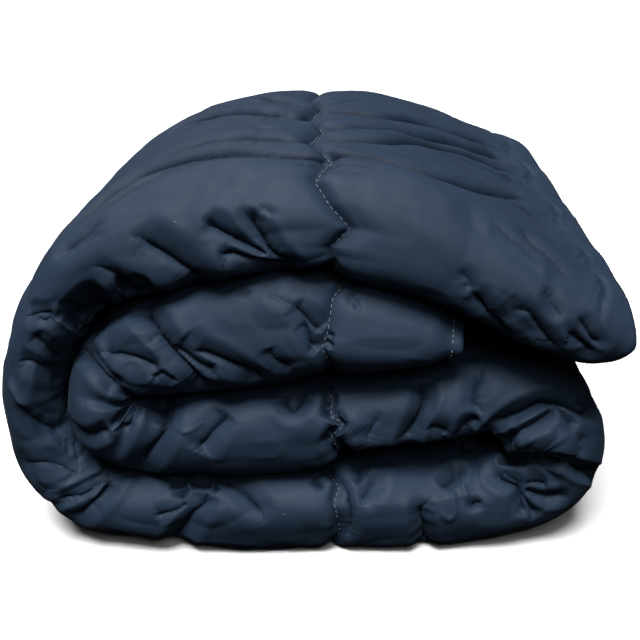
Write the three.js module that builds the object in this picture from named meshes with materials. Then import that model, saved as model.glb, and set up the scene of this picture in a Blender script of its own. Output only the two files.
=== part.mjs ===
// A thick quilted duvet, folded to a long strip and then laid up in four passes:
// an inner pass with a sewn hem, back under itself, out along the floor,
// up round the left side and over the top, with its last edge hanging down on the right.
// Millimetres, +Z up, front towards -Y, origin on the floor under the middle of the box.

import * as THREE from "three";

// ---- driving sizes -------------------------------------------------------
const FLOOR_PRESS = 2.5; // how far the soft underside is pressed flat by the floor
const EDGE_POWER = 11.0; // how square the folded front and back edges are, seen from the end of a pass
const EDGE_ROUND = 2.15; // and how full they are
const ZIGZAG_STEP = 60; // half a zigzag, across the strip
const ZIGZAG_SWING = 13; // each way from the line's middle
const CHANNEL_DRAW = 0.2; // how much of the thickness a quilting line draws in
const CHANNEL_WIDTH = 26; // half width of the dip beside a line
const FACE_STEPS = 8; // zigzag steps across a face, front to back
const EDGE_STEPS = 6; // facets round a folded edge
const STATION = 27; // between sections along the strip
const BACK_SINK = 0.05; // how much lower the whole heap is at the back
const DEPTH = 560; // between the lines where front and back are stated
const ORIGIN_X = -9.563; // middle of the box, from the table's own zero
const ORIGIN_Y = -4.02;

// The strip's middle line seen from the front, from the inner hem to the outer edge.
// half: half its thickness there. front, back: how far its folded edges reach.
// run, rise: how much further right and up the strip lies at its back edge than at its front edge.
const SECTIONS = [
  { at: "inner hem", x: 136, z: 249, half: 21, front: 284, back: 270, run: 72, rise: 4 },
  { at: "inner hem puff", x: 104, z: 250, half: 34, front: 288, back: 275, run: 60, rise: 6 },
  { at: "pass 2 right", x: 52, z: 252, half: 47, front: 291, back: 280, run: 30, rise: 6 },
  { at: "pass 2 middle", x: -12, z: 257, half: 55, front: 292, back: 282, run: 8, rise: 0 },
  { at: "pass 2 left", x: -92, z: 246, half: 54, front: 290, back: 282, run: 0, rise: 0 },
  { at: "inner fold top", x: -166, z: 232, half: 47, front: 288, back: 280, run: 0, rise: 0 },
  { at: "inner fold upper", x: -205, z: 211, half: 39, front: 285, back: 278, run: 0, rise: 0 },
  { at: "inner fold nose", x: -219, z: 184, half: 37, front: 283, back: 276, run: 0, rise: 0 },
  { at: "inner fold lower", x: -212, z: 152, half: 44, front: 281, back: 276, run: 0, rise: 0 },
  { at: "pass 3 left", x: -166, z: 135, half: 43, front: 280, back: 278, run: 0, rise: 0 },
  { at: "pass 3 middle", x: -60, z: 139, half: 47, front: 280, back: 282, run: 0, rise: 0 },
  { at: "pass 3 centre", x: 42, z: 146, half: 50, front: 280, back: 282, run: 0, rise: 0 },
  { at: "pass 3 right", x: 128, z: 157, half: 53, front: 279, back: 280, run: 0, rise: 0 },
  { at: "right fold top", x: 196, z: 165, half: 51, front: 276, back: 276, run: 0, rise: 0 },
  { at: "right fold upper", x: 244, z: 149, half: 45, front: 270, back: 270, run: 0, rise: 0 },
  { at: "right fold nose", x: 263, z: 111, half: 42, front: 267, back: 268, run: 0, rise: 0 },
  { at: "right fold lower", x: 246, z: 73, half: 45, front: 267, back: 270, run: 0, rise: 0 },
  { at: "pass 4 right", x: 195, z: 53, half: 50, front: 272, back: 276, run: 0, rise: 0 },
  { at: "pass 4 centre", x: 85, z: 46, half: 48, front: 282, back: 282, run: 0, rise: 0 },
  { at: "pass 4 middle", x: -40, z: 42, half: 45, front: 284, back: 284, run: 0, rise: 0 },
  { at: "pass 4 left", x: -160, z: 42, half: 44, front: 280, back: 282, run: 0, rise: 0 },
  { at: "left wrap foot", x: -237, z: 52, half: 46, front: 272, back: 278, run: 0, rise: 0 },
  { at: "left wrap low", x: -277, z: 86, half: 42, front: 266, back: 276, run: 0, rise: 0 },
  { at: "left wrap side", x: -296, z: 140, half: 33, front: 264, back: 275, run: 0, rise: 0 },
  { at: "left wrap high", x: -292, z: 203, half: 31, front: 266, back: 275, run: 0, rise: 0 },
  { at: "left wrap shoulder", x: -264, z: 266, half: 35, front: 270, back: 276, run: 2, rise: 0 },
  { at: "top pass turn", x: -222, z: 314, half: 43, front: 275, back: 278, run: 4, rise: 0 },
  { at: "top pass left", x: -152, z: 345, half: 50, front: 281, back: 280, run: 0, rise: 0 },
  { at: "top pass middle", x: -70, z: 366, half: 53, front: 284, back: 282, run: 0, rise: 0 },
  { at: "top pass crown", x: 5, z: 372, half: 53, front: 285, back: 282, run: 0, rise: 0 },
  { at: "top pass fall", x: 72, z: 360, half: 51, front: 285, back: 282, run: 0, rise: 8 },
  { at: "top pass slope", x: 146, z: 326, half: 46, front: 284, back: 281, run: 0, rise: 28 },
  { at: "top pass drop", x: 212, z: 281, half: 45, front: 282, back: 279, run: -4, rise: 50 },
  { at: "outer puff", x: 266, z: 253, half: 39, front: 278, back: 275, run: -8, rise: 66 },
  { at: "outer edge", x: 305, z: 239, half: 20, front: 270, back: 266, run: -10, rise: 76 },
];

// Zigzag quilting lines across the strip, by their distance along it from the inner hem.
const QUILTING = [
  { line: "pass 2", along: 124 },
  { line: "inner fold", along: 380 },
  { line: "pass 3", along: 637 },
  { line: "right fold", along: 916 },
  { line: "pass 4", along: 1195 },
  { line: "left wrap foot", along: 1462 },
  { line: "left wrap shoulder", along: 1729 },
  { line: "top pass", along: 1996 },
  { line: "outer edge", along: 2263 },
];

// ---- smooth tables -------------------------------------------------------
// Distance along the middle line at each row, then a smooth curve through each column.
const along = [0];
for (let i = 1; i < SECTIONS.length; i++) {
  const a = SECTIONS[i - 1],
    b = SECTIONS[i];
  along.push(along[i - 1] + Math.hypot(b.x - a.x, b.z - a.z));
}
const LENGTH = along[along.length - 1];

function smooth(column) {
  const v = SECTIONS.map((row) => row[column]);
  const last = v.length - 1;
  const slope = v.map((_, i) => {
    const lo = Math.max(i - 1, 0),
      hi = Math.min(i + 1, last);
    return (v[hi] - v[lo]) / (along[hi] - along[lo]);
  });
  return (s) => {
    let i = 0;
    while (i < last - 1 && s > along[i + 1]) i++;
    const d = along[i + 1] - along[i],
      t = (s - along[i]) / d,
      t2 = t * t,
      t3 = t2 * t;
    return (
      (2 * t3 - 3 * t2 + 1) * v[i] +
      (t3 - 2 * t2 + t) * d * slope[i] +
      (3 * t2 - 2 * t3) * v[i + 1] +
      (t3 - t2) * d * slope[i + 1]
    );
  };
}
const strip = {
  x: smooth("x"),
  z: smooth("z"),
  half: smooth("half"),
  front: smooth("front"),
  back: smooth("back"),
  run: smooth("run"),
  rise: smooth("rise"),
};

// ---- quilting lines ------------------------------------------------------
const lines = QUILTING.map((row) => row.along);

const nearestLine = (s) =>
  lines.reduce((best, l) => (Math.abs(l - s) < Math.abs(best - s) ? l : best));

function drawIn(s) {
  const d = (s - nearestLine(s)) / CHANNEL_WIDTH;
  return 1 - CHANNEL_DRAW * Math.exp(-d * d);
}

// A zigzag of straight stitches; it fades out away from its line, so sections between lines stay square.
function zigzag(s, y) {
  const step = y / ZIGZAG_STEP;
  const wave = 2 * Math.abs(step / 2 - Math.floor(step / 2 + 0.5)) * 2 - 1;
  const d = (s - nearestLine(s)) / (2.2 * CHANNEL_WIDTH);
  return ZIGZAG_SWING * wave * Math.exp(-d * d);
}

// Sections are set out from each line, closer together beside it.
function stations() {
  const beside = [0, 14, 34];
  const set = new Set([0, 9, LENGTH - 9, LENGTH]);
  const marks = [0, ...lines, LENGTH];
  for (const l of lines)
    for (const b of beside)
      for (const s of [l - b, l + b])
        if (s > 12 && s < LENGTH - 12) set.add(s);
  for (let i = 1; i < marks.length; i++) {
    const from = marks[i - 1] + (i === 1 ? 9 : beside[2]),
      to = marks[i] - (i === marks.length - 1 ? 9 : beside[2]);
    const n = Math.max(1, Math.round((to - from) / STATION));
    for (let k = 1; k < n; k++) set.add(from + ((to - from) * k) / n);
  }
  return [...set].sort((a, b) => a - b);
}

// ---- one section of the strip -------------------------------------------
// Ring of points round the strip's thickness: over the upper face, down the back edge,
// along the lower face and round the front edge. depth is -1 at the front, 1 at the back.
function ring() {
  const points = [];
  const flat = (FACE_STEPS * ZIGZAG_STEP) / 2;
  for (let i = 0; i <= FACE_STEPS; i++)
    points.push({ y: -flat + i * ZIGZAG_STEP, side: 1 });
  for (let i = 1; i < EDGE_STEPS; i++)
    points.push({ edge: 1, turn: (Math.PI * i) / EDGE_STEPS });
  for (let i = 0; i <= FACE_STEPS; i++)
    points.push({ y: flat - i * ZIGZAG_STEP, side: -1 });
  for (let i = 1; i < EDGE_STEPS; i++)
    points.push({ edge: -1, turn: Math.PI + (Math.PI * i) / EDGE_STEPS });
  return points;
}

function place(s, point) {
  const h = strip.half(s) * drawIn(s);
  const reachFront = strip.front(s),
    reachBack = strip.back(s);
  const flat = (FACE_STEPS * ZIGZAG_STEP) / 2;
  let y, n;
  if (point.edge) {
    const end = point.edge > 0 ? reachBack : reachFront;
    const c = Math.cos(point.turn),
      f = Math.abs(Math.sin(point.turn));
    y = point.edge * (flat + (end - flat) * Math.pow(f, 0.8));
    const full = 1 - Math.pow(Math.min(1, Math.abs(y) / end), EDGE_POWER);
    n = Math.sign(c) * h * Math.pow(Math.max(full, 0), 1 / EDGE_ROUND);
    if (Math.abs(c) < 1e-6) n = 0;
  } else {
    y = point.y;
    const end = y > 0 ? reachBack : reachFront;
    n =
      point.side *
      h *
      Math.pow(1 - Math.pow(Math.abs(y) / end, EDGE_POWER), 1 / EDGE_ROUND);
  }
  const at = Math.min(Math.max(s + zigzag(s, y), 0), LENGTH);
  const toBack = Math.min(Math.max(y / DEPTH + 0.5, 0), 1);
  const middle = (q) => [
    strip.x(q) + strip.run(q) * toBack,
    strip.z(q) * (1 - BACK_SINK * toBack) + strip.rise(q) * toBack,
  ];
  const e = 1.5;
  const [ax, az] = middle(Math.max(at - e, 0)),
    [bx, bz] = middle(Math.min(at + e, LENGTH)),
    [mx, mz] = middle(at);
  const t = Math.hypot(bx - ax, bz - az);
  // across the strip, towards the right-hand side of its way along
  const nx = (bz - az) / t,
    nz = -(bx - ax) / t;
  const thin = 1 - BACK_SINK * toBack;
  return new THREE.Vector3(
    mx + n * thin * nx - ORIGIN_X,
    y - ORIGIN_Y,
    Math.max(mz + n * thin * nz - FLOOR_PRESS, 0),
  );
}

// ---- skin the rings ------------------------------------------------------
function duvetGeometry() {
  const at = stations(),
    loop = ring(),
    m = loop.length;
  const points = [],
    faces = [];
  for (const s of at) for (const p of loop) points.push(place(s, p));
  for (let i = 0; i + 1 < at.length; i++)
    for (let j = 0; j < m; j++) {
      const k = (j + 1) % m;
      const a = i * m + j,
        b = i * m + k,
        c = (i + 1) * m + k,
        d = (i + 1) * m + j;
      faces.push(a, b, c, a, c, d);
    }
  // hem faces: each end is closed between its upper and lower rows
  const close = (start, turn) => {
    for (let j = 0; j < m / 2; j++) {
      const up0 = start + ((m - Math.floor(EDGE_STEPS / 2) + j) % m),
        up1 = start + ((m - Math.floor(EDGE_STEPS / 2) + j + 1) % m),
        dn0 = start + ((2 * m - Math.floor(EDGE_STEPS / 2) - j) % m),
        dn1 = start + ((2 * m - Math.floor(EDGE_STEPS / 2) - j - 1) % m);
      for (const t of [
        [up0, dn1, up1],
        [up0, dn0, dn1],
      ]) {
        if (new Set(t).size < 3) continue;
        faces.push(...(turn ? [t[0], t[2], t[1]] : t));
      }
    }
  };
  close(0, false);
  close((at.length - 1) * m, true);
  const g = new THREE.BufferGeometry();
  g.setAttribute(
    "position",
    new THREE.Float32BufferAttribute(
      points.flatMap((p) => [p.x, p.y, p.z]),
      3,
    ),
  );
  g.setIndex(faces);
  g.computeVertexNormals();
  return g;
}

const navy = new THREE.MeshStandardMaterial({
  color: 0x242f40,
  roughness: 0.62,
  metalness: 0,
});

const duvet = new THREE.Mesh(duvetGeometry(), navy);
duvet.name = "duvet";

const group = new THREE.Group();
group.add(duvet);
export default group;
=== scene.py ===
import math
import bpy
import numpy as np
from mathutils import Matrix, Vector
from mathutils.bvhtree import BVHTree
from mathutils.kdtree import KDTree


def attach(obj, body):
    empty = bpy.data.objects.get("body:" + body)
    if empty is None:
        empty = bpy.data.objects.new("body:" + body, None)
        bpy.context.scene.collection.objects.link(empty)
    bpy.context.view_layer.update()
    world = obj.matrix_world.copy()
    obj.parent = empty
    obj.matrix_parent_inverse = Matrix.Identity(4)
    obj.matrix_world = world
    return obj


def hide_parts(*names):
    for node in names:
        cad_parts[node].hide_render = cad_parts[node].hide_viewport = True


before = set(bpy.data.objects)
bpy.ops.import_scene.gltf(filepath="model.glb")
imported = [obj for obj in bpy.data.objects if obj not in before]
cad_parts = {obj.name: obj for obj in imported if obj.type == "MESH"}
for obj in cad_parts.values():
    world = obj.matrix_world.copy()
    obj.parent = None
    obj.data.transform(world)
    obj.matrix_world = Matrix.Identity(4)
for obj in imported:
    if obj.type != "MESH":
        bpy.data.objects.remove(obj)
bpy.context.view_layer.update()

MM = 0.001
rng = np.random.default_rng(11)

# --------------------------------------------------------------------------
# The strip: the duvet folded to a long padded strip and laid up in four passes.
# Columns: where, x, z (middle line at the front edge), half thickness, reach of the
# front and back folded edges, and how much further right / up the back edge lies (mm).
# --------------------------------------------------------------------------
SECTIONS = [
    ("inner hem", 136, 249, 21, 284, 270, 72, 4),
    ("inner hem puff", 104, 250, 34, 288, 275, 60, 6),
    ("pass 2 right", 52, 252, 47, 291, 280, 30, 6),
    ("pass 2 middle", -12, 257, 55, 292, 282, 8, 0),
    ("pass 2 left", -92, 246, 54, 290, 282, 0, 0),
    ("inner fold top", -166, 232, 47, 288, 280, 0, 0),
    ("inner fold upper", -205, 211, 39, 285, 278, 0, 0),
    ("inner fold nose", -219, 184, 37, 283, 276, 0, 0),
    ("inner fold lower", -212, 152, 44, 281, 276, 0, 0),
    ("pass 3 left", -166, 135, 43, 280, 278, 0, 0),
    ("pass 3 middle", -60, 139, 47, 280, 282, 0, 0),
    ("pass 3 centre", 42, 146, 50, 280, 282, 0, 0),
    ("pass 3 right", 128, 157, 53, 279, 280, 0, 0),
    ("right fold top", 196, 165, 51, 276, 276, 0, 0),
    ("right fold upper", 244, 149, 45, 270, 270, 0, 0),
    ("right fold nose", 263, 111, 42, 267, 268, 0, 0),
    ("right fold lower", 246, 73, 45, 267, 270, 0, 0),
    ("pass 4 right", 195, 53, 50, 272, 276, 0, 0),
    ("pass 4 centre", 85, 46, 48, 282, 282, 0, 0),
    ("pass 4 middle", -40, 42, 45, 284, 284, 0, 0),
    ("pass 4 left", -160, 42, 44, 280, 282, 0, 0),
    ("left wrap foot", -237, 52, 46, 272, 278, 0, 0),
    ("left wrap low", -277, 86, 42, 266, 276, 0, 0),
    ("left wrap side", -296, 140, 33, 264, 275, 0, 0),
    ("left wrap high", -292, 203, 31, 266, 275, 0, 0),
    ("left wrap shoulder", -264, 266, 35, 270, 276, 2, 0),
    ("top pass turn", -222, 314, 43, 275, 278, 4, 0),
    ("top pass left", -152, 345, 50, 281, 280, 0, 0),
    ("top pass middle", -70, 366, 53, 284, 282, 0, 0),
    ("top pass crown", 5, 372, 53, 285, 282, 0, 0),
    ("top pass fall", 72, 360, 51, 285, 282, 0, 8),
    ("top pass slope", 146, 326, 46, 284, 281, 0, 28),
    ("top pass drop", 212, 281, 45, 282, 279, -4, 50),
    ("outer puff", 266, 254, 43, 278, 275, -8, 66),
    ("outer edge", 305, 243, 37, 270, 266, -10, 76),
]
ORIGIN = np.array([-9.563, -4.02, 2.5])  # table zero to part zero, mm
BACK_SINK, DEPTH = 0.05, 560.0
EDGE_POWER, EDGE_ROUND = 11.0, 2.2
QUILTING = [124, 334, 637, 916, 1195, 1462, 1704, 1996, 2268]  # along the strip, mm
DRAWN = [4, 3, 4, 1.5, 4, 0.6, 1, 5, 0.8]  # how far each line draws the shell in, mm
SHOW = [1, 1, 1, 0.2, 1, 0.25, 0.0, 1, 0.2]  # how strongly each line shows
ZIG_STEP, ZIG_SWING = 62.0, 15.0


class Strip:
    """Smooth curves through the columns of SECTIONS, by distance along the strip."""

    def __init__(self, rows):
        v = np.array([r[1:] for r in rows], float)
        self.k = np.concatenate([[0], np.cumsum(np.hypot(*np.diff(v[:, :2], axis=0).T))])
        n = len(v)
        lo, hi = np.maximum(np.arange(n) - 1, 0), np.minimum(np.arange(n) + 1, n - 1)
        self.v, self.m, self.length = v, (v[hi] - v[lo]) / (self.k[hi] - self.k[lo])[:, None], self.k[-1]

    def at(self, q):
        i = np.clip(np.searchsorted(self.k, q, side="right") - 1, 0, len(self.k) - 2)
        d = (self.k[i + 1] - self.k[i])
        t = ((q - self.k[i]) / d)[..., None]
        d = d[..., None]
        t2, t3 = t * t, t * t * t
        return ((2 * t3 - 3 * t2 + 1) * self.v[i] + (t3 - 2 * t2 + t) * d * self.m[i]
                + (3 * t2 - 2 * t3) * self.v[i + 1] + (t3 - t2) * d * self.m[i + 1])

    def middle(self, q, f):
        v = self.at(q)
        return v[..., 0] + v[..., 5] * f, v[..., 1] * (1 - BACK_SINK * f) + v[..., 6] * f

    def place(self, q, eta, nu):
        """Points at strip position q, depth share eta (-1 front, 1 back) and thickness share nu."""
        v = self.at(q)
        y = np.where(eta < 0, eta * v[..., 3], eta * v[..., 4])
        f = np.clip(y / DEPTH + 0.5, 0, 1)
        ax, az = self.middle(np.clip(q - 2, 0, self.length), f)
        bx, bz = self.middle(np.clip(q + 2, 0, self.length), f)
        mx, mz = self.middle(q, f)
        t = np.hypot(bx - ax, bz - az)
        n = nu * v[..., 2] * (1 - BACK_SINK * f)
        return np.stack([mx + n * (bz - az) / t, y, mz - n * (bx - ax) / t], -1) - ORIGIN


strip = Strip(SECTIONS)
LENGTH = strip.length


# ---- helpers --------------------------------------------------------------------
def ease(t):
    t = np.clip(t, 0, 1)
    return t * t * (3 - 2 * t)


LINES = np.array(QUILTING, float)


def line_distance(s):
    return np.min(np.abs(s[..., None] - LINES), -1)


def spaced(lo, hi, step):
    """Values from lo to hi, an even number of gaps, whose spacing follows step(value)."""
    fine = np.linspace(lo, hi, 6000)
    c = np.concatenate([[0], np.cumsum(0.5 * (1 / step(fine[1:]) + 1 / step(fine[:-1])) * np.diff(fine))])
    n = 2 * max(1, int(round(c[-1] / 2)))
    return np.interp(np.linspace(0, c[-1], n + 1), c, fine)


# Half the way round the strip's section, as depth share and thickness share, by distance from the front edge.
a = np.linspace(0, 2 * np.pi, 40001)
eta_f = -np.sign(np.cos(a)) * np.abs(np.cos(a)) ** (2 / EDGE_POWER)
nu_f = -np.sign(np.sin(a)) * np.abs(np.sin(a)) ** (2 / EDGE_ROUND)
arc = np.concatenate([[0], np.cumsum(np.hypot(np.diff(eta_f) * 283, np.diff(nu_f) * 47))])
AROUND = arc[-1]
HALF = AROUND / 2
HEM = 10.0  # width of the sewn edge at both ends, mm

# Corners of the zigzag stitching where it shows: place round the strip, swing along it (mm).
# Elsewhere it runs on as an even zigzag.
CORNERS = {
    7: [(-62, -8), (-27, 2), (0, -2), (18, 13), (35, -5), (56, -17), (88, -2), (137, -27), (232, -8), (294, -27), (393, -8), (455, -26),
        (523, -8), (585, -24)],
    1: [(-60, 17), (-26, 10), (-3, 8), (23, 9), (42, 12)],
    5: [(-46, -9), (-26, 5), (-13, 11), (6, 16), (40, 20)],
    8: [(0, 9), (7, 7), (21, 2), (35, 1), (46, 2), (53, 6), (77, 14)],
    0: [(-67, 4), (-54, -4), (-40, 3), (-15, 5), (5, 10), (14, 6), (40, -4)],
    2: [(80, -5), (55, 5), (28, 2), (17, 15), (5, 0), (-20, 7), (-41, 12), (-62, -4)],
    4: [(-75, 6), (-50, -7), (-31, -1), (9, -7), (45, 5)],
}
SHIFT = [12, 45, 80, 20, 60, 33, 75, 5, 50]


def zigzag(n, l):
    t = (l + SHIFT[n]) / (2 * ZIG_STEP)
    even = ZIG_SWING * (4 * np.abs(t - np.floor(t + 0.5)) - 1)
    if n not in CORNERS:
        return even
    c = np.array(sorted(CORNERS[n]), float)
    inside = ease((l - c[0, 0] + 25) / 25) * ease((c[-1, 0] + 25 - l) / 25)
    return even * (1 - inside) + np.interp(l, c[:, 0], c[:, 1]) * inside


# Where the front edges sag or lift away from the even section: middle and reach along the strip,
# middle and reach round it, then the move to the right and up (mm).
LIPS = [
    (728, 118, -72, 82, 0, 44),     # pass 3, lower lip left of the right fold
    (1065, 75, -70, 80, 0, -10),    # pass 4, upper lip below it
    (140, 170, -66, 70, 0, 8),      # pass 2, upper lip
    (1945, 75, -60, 75, 0, 9),      # top pass, lower lip above it
    (868, 75, -52, 62, 0, -12),     # right fold, its two inner sides meet
    (968, 75, -52, 62, 0, 11),
    (70, 120, 72, 82, 0, 9),        # pass 2, lower lip
    (10, 95, -52, 62, 0, -4),       # inner hem, upper lip
    (2040, 190, -70, 70, 0, -8),    # top pass, lower lip
    (2020, 270, 12, 78, 0, -21),    # top pass, front edge hangs
    (1390, 105, 75, 88, 0, 12),     # left wrap, foot lifts off the table at the front
]


# The passes stand back from each other at the front: how far by distance along the strip (mm). They are
# moved along the lines of sight, so that what is seen stays in its place.
EYE = np.array([-ORIGIN[0], -1074 - ORIGIN[1], 621.0])
PITCH, FOCAL = math.radians(23.5), 920.0
SET_BACK = [(0, 22), (250, 24), (310, 20), (410, 12), (480, 8), (640, 8), (740, 18), (820, 18), (960, 2), (1100, 0), (1450, 0), (1600, 10), (1760, 26), (2010, 28),
            (2110, 16), (2190, -4), (2260, -9), (2330, -9)]

# And where single places stand further out, or back: middle and reach along the strip and round it, then how far (mm).
FORWARD = [
    (878, 80, -26, 48, 18),     # right fold, lower edge of its upper half
    (1727, 38, -28, 30, -31),   # the hollow behind the turn of the top pass
    (1800, 20, -26, 20, -18),   # and a small one beside it
    (170, 170, 18, 42, 7),      # pass 2, lower half
    (1960, 190, -30, 42, 7),    # top pass, lower half
    (394, 34, -6, 46, 9),       # end of the inner roll
    (1230, 230, 14, 40, -8),    # pass 4, lower half
]


# ---- grids: rows along the strip, columns round it ---------------------------------
def ring_of(steps, count):
    """Places round the strip. steps: spacing at the front edge, the back edge, the outer and the inner face."""
    front, back, outer, inner = steps
    fine = np.linspace(0, AROUND, 8000)
    l = 0.5 * (fine[1:] + fine[:-1])
    l = np.where(l > HALF, l - AROUND, l)
    rim = front + (back - front) * ease((np.abs(l) - 120) / 60)
    side = ease((np.abs(l) - 112) / 60) * ease((HALF - 62 - np.abs(l)) / 50)
    step = rim + (np.where(l > 0, outer, inner) - rim) * side
    c = np.concatenate([[0], np.cumsum(np.diff(fine) / step)])
    return np.interp(np.linspace(0, c[-1], count + 1)[:-1], c, fine)


def row_places(lo, hi, gap, line_gap):
    """Rows from lo to hi, one on each sewn line, closer together beside a line and at the strip's ends."""
    def step(s):
        return line_gap + (gap - line_gap) * ease(np.minimum(line_distance(s) - 3, 1.6 * np.minimum(s, LENGTH - s) - 16) / 30)
    marks = [lo, *(q for q in QUILTING if lo < q < hi), hi]
    rows = [lo]
    for b, e in zip(marks[:-1], marks[1:]):
        rows += list(spaced(b, e, step)[1:])
    return rows


class Grid:
    def __init__(self, rows, columns, steps):
        self.rows = rows = np.array(rows, float)
        self.ns, self.nl = len(rows), columns
        # the outer face is hidden between passes 2 and 3 and under pass 4
        cover = np.maximum(ease((600 - rows) / 60), ease((rows - 1130) / 60) * ease((1500 - rows) / 60))[:, None]
        self.ring = (ring_of(steps, columns)[None] * (1 - cover)
                     + ring_of((0.82 * steps[0], 0.8 * steps[1], steps[3], steps[3]), columns)[None] * cover)
        self.R = R = np.where(self.ring > HALF, self.ring - AROUND, self.ring)
        self.S = S = np.broadcast_to(rows[:, None], R.shape)
        self.line = np.argmin(np.abs(rows[:, None] - LINES), -1)
        self.off = S - LINES[self.line][:, None]
        self.end = np.minimum(S, LENGTH - S)
        self.pinned = np.abs(self.off) < 0.01
        swing = np.stack([zigzag(self.line[i], R[i]) for i in range(self.ns)]) * np.exp(-(self.off / 65) ** 2)
        swing *= ease(S / 40) * ease((LENGTH - S) / 40)
        tip = np.clip((S - (LENGTH - 30)) / 30, 0, 1)  # the outer edge rounds off
        nu = np.interp(self.ring, arc, nu_f) * np.sqrt(1 - 0.86 * tip ** 3)
        self.place = np.clip(S + swing, 0, LENGTH)
        base = strip.place(self.place, np.interp(self.ring, arc, eta_f), nu)
        for s0, ds, l0, dl, dx, dz in LIPS:
            w = np.maximum(1 - ((S - s0) / ds) ** 4, 0) ** 2 * np.maximum(1 - ((R - l0) / dl) ** 2, 0) ** 2
            base = base + w[..., None] * np.array([dx, 0, dz])
        back = np.interp(S, *np.array(SET_BACK, float).T) * (1 - ease((np.abs(R) - 95) / 160))
        for s0, ds, l0, dl, out in FORWARD:
            back = back - out * np.maximum(1 - ((S - s0) / ds) ** 4, 0) ** 2 * np.maximum(1 - ((R - l0) / dl) ** 2, 0) ** 2
        way = base - EYE
        self.base = base = base + (back / way[..., 1])[..., None] * way
        self.hs = np.full((self.ns, 1), 4.0)
        self.hs[1:-1, 0] = 0.5 * (rows[2:] - rows[:-2])
        self.hl = 0.5 * (np.roll(self.ring, -1, 1) - np.roll(self.ring, 1, 1)) % (AROUND / 2)


def normals(X):
    du = np.empty_like(X)
    du[1:-1] = X[2:] - X[:-2]
    du[0], du[-1] = X[1] - X[0], X[-1] - X[-2]
    dv = np.roll(X, -1, 1) - np.roll(X, 1, 1)
    n = TURN * np.cross(du, dv)
    return n / (np.linalg.norm(n, axis=-1, keepdims=True) + 1e-9)


def quads(ns, nl):
    i, j = np.meshgrid(np.arange(ns - 1), np.arange(nl), indexing="ij")
    k = (j + 1) % nl
    q = np.stack([i * nl + j, i * nl + k, (i + 1) * nl + k, (i + 1) * nl + j], -1).reshape(-1, 4)
    return q[:, ::-1] if TURN < 0 else q


def carry(F, g, h):
    """A field on grid g, at the points of grid h."""
    F = F.reshape(g.ns, g.nl, -1)
    i = np.clip(np.searchsorted(g.rows, h.rows, side="right") - 1, 0, g.ns - 2)
    t = (h.rows - g.rows[i]) / (g.rows[i + 1] - g.rows[i])
    out = np.zeros((h.ns, h.nl, F.shape[2]))
    at = [np.append(r, AROUND) for r in g.ring]
    closed = np.concatenate([F, F[:, :1]], 1)
    for n in range(h.ns):
        for row, w in ((i[n], 1 - t[n]), (i[n] + 1, t[n])):
            for k in range(F.shape[2]):
                out[n, :, k] += w * np.interp(h.ring[n], at[row], closed[row, :, k])
    return out[..., 0] if F.shape[2] == 1 else out


# ---- seeded noise -----------------------------------------------------------
LATTICE = rng.standard_normal((64, 64, 64)).astype(np.float32)


def noise(P):
    """Smooth noise of about -1..1 at points P (last axis 3), one lattice cell to the unit."""
    f = np.floor(P).astype(int)
    t = P - f
    t = t * t * t * (t * (t * 6 - 15) + 10)
    out = 0
    for dx in (0, 1):
        for dy in (0, 1):
            for dz in (0, 1):
                w = (t[..., 0] if dx else 1 - t[..., 0]) * (t[..., 1] if dy else 1 - t[..., 1]) * (t[..., 2] if dz else 1 - t[..., 2])
                out = out + w * LATTICE[(f[..., 0] + dx) % 64, (f[..., 1] + dy) % 64, (f[..., 2] + dz) % 64]
    return out


# ---- room: how far each point may move out before it meets the next pass ------
def room(X, N, reach=60.0):
    """Half the free way outwards from each point to the rest of the strip, or to the floor."""
    t = BVHTree.FromPolygons(X.reshape(-1, 3).tolist(), quads(*X.shape[:2]).tolist())
    P, D = X.reshape(-1, 3), N.reshape(-1, 3)
    out = np.full(len(P), reach)
    for n in range(len(P)):
        hit = t.ray_cast((P[n] + D[n] * 0.6).tolist(), D[n].tolist(), reach)
        if hit[3] is not None:
            out[n] = (hit[3] + 0.6) / 2 - 0.7
    out = out.reshape(X.shape[:2])
    down = N[..., 2] < -0.05
    out = np.where(down, np.minimum(out, np.maximum(X[..., 2], 0) / np.maximum(-N[..., 2], 0.05)), out)
    return np.maximum(out, 0)


def spread_min(a):
    b = a.copy()
    b[1:] = np.minimum(b[1:], a[:-1]); b[:-1] = np.minimum(b[:-1], a[1:])
    return np.minimum(b, np.minimum(np.roll(a, 1, 1), np.roll(a, -1, 1)))


def smooth_map(a, n, k=0.25):
    for _ in range(n):
        a = a + k * (np.roll(a, 1, 1) + np.roll(a, -1, 1) - 2 * a)
        a[1:-1] += k * (a[2:] + a[:-2] - 2 * a[1:-1])
    return a


# ---- cloth: the shell is a little longer than the padding it covers ------------------
def lengths(X):
    return (np.linalg.norm(X[1:] - X[:-1], axis=-1),
            np.linalg.norm(np.roll(X, -1, 1) - X, axis=-1),
            np.linalg.norm(np.roll(X, -1, 1)[1:] - X[:-1], axis=-1),
            np.linalg.norm(X[1:] - np.roll(X, -1, 1)[:-1], axis=-1))


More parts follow.
